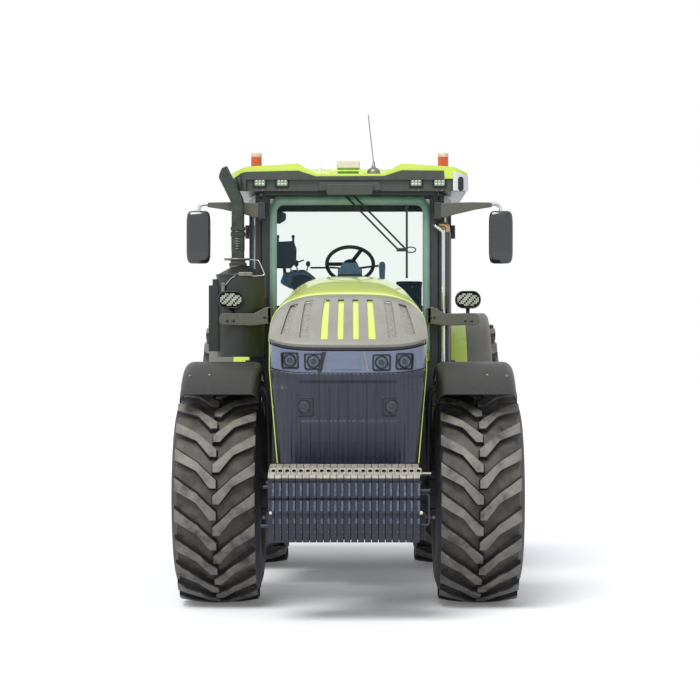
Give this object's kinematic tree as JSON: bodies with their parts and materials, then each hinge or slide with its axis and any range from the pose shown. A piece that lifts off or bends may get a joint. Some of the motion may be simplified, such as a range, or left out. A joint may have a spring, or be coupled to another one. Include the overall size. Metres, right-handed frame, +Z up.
{
  "type": "farm tractor",
  "caption": "Wheeled farm tractor with an enclosed cab, opening bonnet and doors, steered front wheels, front weights and a rear linkage.",
  "frame": {"origin": "middle of the footprint, on the ground", "axes": "+Z up, -Y forward, +X to the tractor's own left"},
  "size_m": [2.4, 5.4985, 3.465],
  "materials": {
    "lime_gloss": "gloss",
    "lime_paint": "gloss",
    "warm_grey": "satin",
    "lamp_band_grey": "satin",
    "grille_dark": "matte",
    "fender_black": "matte",
    "cast_dark": "matte",
    "weight_iron": "satin",
    "tyre": "matte",
    "rim_paint": "satin",
    "glass": "clear",
    "cab_dark": "satin",
    "fascia": "satin",
    "seat_fabric": "woven",
    "cab_plastic": "matte",
    "lamp_clear": "clear lens in a dark housing",
    "mirror_black": "gloss",
    "exhaust_steel": "brushed",
    "canister_green": "satin",
    "amber": "clear amber",
    "antenna_cream": "satin",
    "chrome_rail": "polished",
    "steel_link": "satin",
    "step_grey": "satin",
    "wiper_black": "matte",
    "tank_grey": "matte",
    "wheel_rubber": "matte"
  },
  "bodies": {
    "chassis": {"front_axle": "cast_dark", "chassis_frame": "cast_dark", "engine_block": "cast_dark", "transmission_housing": "cast_dark", "rear_axle": "cast_dark", "front_weights": "weight_iron", "weight_carrier": "cast_dark", "bonnet_support": "cab_dark", "cab_floor": "cab_dark", "cab_frame": "cab_dark", "windscreen": "glass", "rear_windows": "glass", "roof_panel": "lime_gloss", "roof_base": "fascia", "rear_fender_left": "lime_paint", "rear_fender_right": "lime_paint", "fender_extensions": "fender_black", "fuel_tank": "tank_grey", "battery_box": "tank_grey", "cab_steps": "step_grey", "exhaust_canister": "canister_green", "exhaust_stack": "exhaust_steel", "lamp_brackets": "step_grey", "work_lamps": "lamp_clear", "mirrors": "mirror_black", "beacons": "amber", "roof_antennas": "antenna_cream", "handrails": "chrome_rail", "wiper": "wiper_black", "operator_seat": "seat_fabric", "passenger_seat": "seat_fabric", "cab_consoles": "cab_plastic", "rear_hitch": "cast_dark"},
    "bonnet": {"bonnet_panel": "lime_gloss", "bonnet_nose": "warm_grey", "headlamp_band": "lamp_band_grey", "front_grille": "grille_dark", "headlamps": "lamp_clear"},
    "knuckle_left": {"knuckle_left": "cast_dark", "front_fender_left": "fender_black"},
    "knuckle_right": {"knuckle_right": "cast_dark", "front_fender_right": "fender_black"},
    "front_wheel_left": {"front_tyre_left": "tyre", "front_rim_left": "rim_paint"},
    "front_wheel_right": {"front_tyre_right": "tyre", "front_rim_right": "rim_paint"},
    "rear_wheel_left": {"rear_tyre_left": "tyre", "rear_rim_left": "rim_paint"},
    "rear_wheel_right": {"rear_tyre_right": "tyre", "rear_rim_right": "rim_paint"},
    "steering_rod": {"steering_rod": "chrome_rail"},
    "door_left": {"door_left": "cab_dark", "door_glass_left": "glass"},
    "door_right": {"door_right": "cab_dark", "door_glass_right": "glass"},
    "steering_wheel": {"steering_wheel": "wheel_rubber"},
    "lower_links": {"lower_links": "steel_link"},
    "lift_arms": {"lift_arms": "steel_link"},
    "lift_rods": {"lift_rods": "steel_link"},
    "top_link": {"top_link": "steel_link"}
  },
  "joints": [
    {"name": "steer_left", "type": "hinge", "parent": "chassis", "child": "knuckle_left", "pos_m": [0.6, -1.3, 0.745], "axis": [0, 0, 1], "range_deg": [-28, 28]},
    {"name": "steer_right", "type": "hinge", "parent": "chassis", "child": "knuckle_right", "pos_m": [-0.6, -1.3, 0.745], "axis": [0, 0, 1], "range_deg": [-28, 28]},
    {"name": "steering_rod_slide", "type": "slide", "parent": "chassis", "child": "steering_rod", "axis": [1, 0, 0], "range_m": [-0.0939, 0.0939]},
    {"name": "front_wheel_left_spin", "type": "hinge", "parent": "knuckle_left", "child": "front_wheel_left", "pos_m": [0.878, -1.3, 0.745], "axis": [1, 0, 0], "continuous": true},
    {"name": "front_wheel_right_spin", "type": "hinge", "parent": "knuckle_right", "child": "front_wheel_right", "pos_m": [-0.878, -1.3, 0.745], "axis": [1, 0, 0], "continuous": true},
    {"name": "rear_wheel_left_spin", "type": "hinge", "parent": "chassis", "child": "rear_wheel_left", "pos_m": [0.835, 1.6, 0.98], "axis": [1, 0, 0], "continuous": true},
    {"name": "rear_wheel_right_spin", "type": "hinge", "parent": "chassis", "child": "rear_wheel_right", "pos_m": [-0.835, 1.6, 0.98], "axis": [1, 0, 0], "continuous": true},
    {"name": "bonnet_hinge", "type": "hinge", "parent": "chassis", "child": "bonnet", "pos_m": [0, -0.24, 2.195], "axis": [-1, 0, 0], "range_deg": [0, 50]},
    {"name": "door_left_hinge", "type": "hinge", "parent": "chassis", "child": "door_left", "pos_m": [0.79204, 0.55256, 2], "axis": [0, 0, 1], "range_deg": [0, 70]},
    {"name": "door_right_hinge", "type": "hinge", "parent": "chassis", "child": "door_right", "pos_m": [-0.79204, 0.55256, 2], "axis": [0, 0, -1], "range_deg": [0, 70]},
    {"name": "steering_wheel_turn", "type": "hinge", "parent": "chassis", "child": "steering_wheel", "pos_m": [0, 0.32, 2.38], "axis": [0, 0.7071, 0.7071], "continuous": true},
    {"name": "lower_link_lift", "type": "hinge", "parent": "chassis", "child": "lower_links", "pos_m": [0, 1.89, 0.56], "axis": [1, 0, 0], "range_deg": [-12, 26]},
    {"name": "lift_arm_turn", "type": "hinge", "parent": "chassis", "child": "lift_arms", "pos_m": [0, 1.76, 1.24], "axis": [1, 0, 0], "range_deg": [-19, 40.6]},
    {"name": "lift_rod_turn", "type": "hinge", "parent": "lift_arms", "child": "lift_rods", "pos_m": [0, 2.07876, 1.15459], "axis": [1, 0, 0], "range_deg": [-44.7, 20.9]},
    {"name": "top_link_turn", "type": "hinge", "parent": "chassis", "child": "top_link", "pos_m": [0, 1.895, 1.09], "axis": [1, 0, 0], "range_deg": [-14, 60]}
  ],
  "couplings": [
    {"joint": "steer_right", "follows": "steer_left", "ratio": 1},
    {"joint": "steering_rod_slide", "follows": "steer_left", "m_per_rad": -0.19},
    {"joint": "lift_arm_turn", "follows": "lower_link_lift", "ratio": 1.54},
    {"joint": "lift_rod_turn", "follows": "lower_link_lift", "ratio": -1.7}
  ]
}
